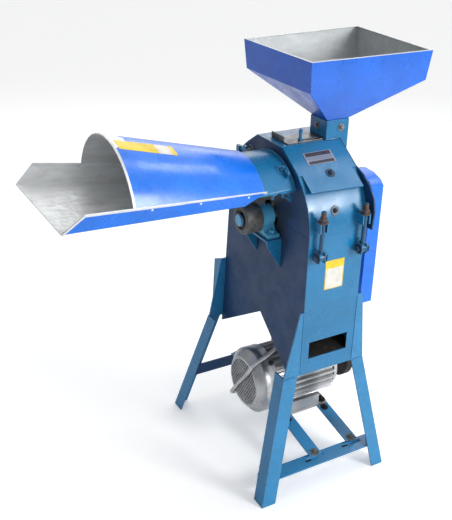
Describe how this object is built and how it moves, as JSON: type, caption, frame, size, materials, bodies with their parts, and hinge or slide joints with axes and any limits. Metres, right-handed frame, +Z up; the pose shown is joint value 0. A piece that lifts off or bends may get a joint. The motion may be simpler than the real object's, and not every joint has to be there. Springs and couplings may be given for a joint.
{
  "type": "hammer mill",
  "caption": "Combined chaff cutter and hammer mill on splayed angle legs, with covered feed trough, square hopper, hinged hood, and an electric motor with belt drive below.",
  "frame": {"origin": "centre of the bounding box's bottom face, on the floor between the feet", "axes": "+X towards the belt drive and away from the feed trough, along the rotor axis; +Y towards the rear, away from the discharge window; +Z up"},
  "size_m": [1.067, 0.5724, 1.238],
  "materials": {
    "teal_paint": "worn satin paint",
    "azure_paint": "satin paint with scuffed edges",
    "bare_steel": "bare, slightly rusted",
    "rusty_iron": "as cast, rusty",
    "cast_aluminium": "cast, silver paint",
    "belt_rubber": "matt",
    "cable_pvc": "satin sheath",
    "grey_plastic": "moulded"
  },
  "bodies": {
    "frame": {"left_side_plate": "teal_paint", "right_side_plate": "teal_paint", "front_panel": "teal_paint", "rear_panel": "teal_paint", "front_left_leg": "teal_paint", "front_right_leg": "teal_paint", "back_left_leg": "teal_paint", "back_right_leg": "teal_paint", "front_crossbar": "teal_paint", "rear_crossbar": "teal_paint", "motor_rail_left": "teal_paint", "motor_rail_right": "teal_paint", "left_bearing_bracket": "teal_paint", "right_bearing_bracket": "teal_paint", "left_bearing": "teal_paint", "right_bearing": "teal_paint", "discharge_slide": "bare_steel", "screen": "bare_steel", "belt_guard": "azure_paint", "drive_belt": "belt_rubber", "motor_lead": "cable_pvc", "hinge_pin": "bare_steel", "motor_housing": "cast_aluminium", "motor_end_bell": "cast_aluminium", "motor_fan_cover": "bare_steel", "terminal_box": "cast_aluminium"},
    "motor_rotor": {"motor_shaft": "bare_steel", "motor_pulley": "rusty_iron", "motor_fan": "grey_plastic"},
    "rotor": {"main_shaft": "bare_steel", "knife_disc": "bare_steel", "knife_a": "bare_steel", "knife_b": "bare_steel", "hammer_disc_left": "bare_steel", "hammer_disc_right": "bare_steel", "hammer_pin_a": "bare_steel", "hammer_pin_b": "bare_steel", "hammer_pin_c": "bare_steel", "driven_pulley": "rusty_iron", "shaft_end_ring": "rusty_iron"},
    "hammer_row_a": {"hammer_a_left": "bare_steel", "hammer_a_right": "bare_steel"},
    "hammer_row_b": {"hammer_b_left": "bare_steel", "hammer_b_right": "bare_steel"},
    "hammer_row_c": {"hammer_c_left": "bare_steel", "hammer_c_right": "bare_steel"},
    "hood": {"hood_shell": "teal_paint", "hood_left_plate": "teal_paint", "hood_right_plate": "teal_paint", "hood_slope_cover": "teal_paint", "inlet_duct": "teal_paint", "trough": "azure_paint", "trough_cover": "azure_paint", "fixed_knife": "bare_steel", "chute": "teal_paint", "hopper": "azure_paint", "gate_clamp": "bare_steel"},
    "gate": {"feed_gate": "teal_paint"},
    "latch_left": {"latch_bolt_left": "bare_steel"},
    "latch_right": {"latch_bolt_right": "bare_steel"}
  },
  "joints": [
    {"name": "rotor_spin", "type": "hinge", "parent": "frame", "child": "rotor", "pos_m": [0.1975, -0.04775, 0.8], "axis": [1, 0, 0], "continuous": true},
    {"name": "motor_spin", "type": "hinge", "parent": "frame", "child": "motor_rotor", "pos_m": [0.1975, 0.00225, 0.23], "axis": [1, 0, 0], "continuous": true},
    {"name": "hammer_row_a_swing", "type": "hinge", "parent": "rotor", "child": "hammer_row_a", "pos_m": [0.2115, -0.04775, 0.9], "axis": [1, 0, 0], "continuous": true},
    {"name": "hammer_row_b_swing", "type": "hinge", "parent": "rotor", "child": "hammer_row_b", "pos_m": [0.2115, -0.13435, 0.75], "axis": [1, 0, 0], "continuous": true},
    {"name": "hammer_row_c_swing", "type": "hinge", "parent": "rotor", "child": "hammer_row_c", "pos_m": [0.2115, 0.03885, 0.75], "axis": [1, 0, 0], "continuous": true},
    {"name": "hood_open", "type": "hinge", "parent": "frame", "child": "hood", "pos_m": [0.1975, 0.18325, 0.8], "axis": [-1, 0, 0], "range_deg": [0, 70]},
    {"name": "gate_slide", "type": "slide", "parent": "hood", "child": "gate", "axis": [-1, 0, 0], "range_m": [0, 0.06]},
    {"name": "latch_left_swing", "type": "hinge", "parent": "frame", "child": "latch_left", "pos_m": [0.1355, -0.25675, 0.752], "axis": [1, 0, 0], "range_deg": [0, 150]},
    {"name": "latch_right_swing", "type": "hinge", "parent": "frame", "child": "latch_right", "pos_m": [0.2695, -0.25675, 0.752], "axis": [1, 0, 0], "range_deg": [0, 150]}
  ],
  "couplings": [
    {"joint": "motor_spin", "follows": "rotor_spin", "ratio": 0.71429}
  ]
}
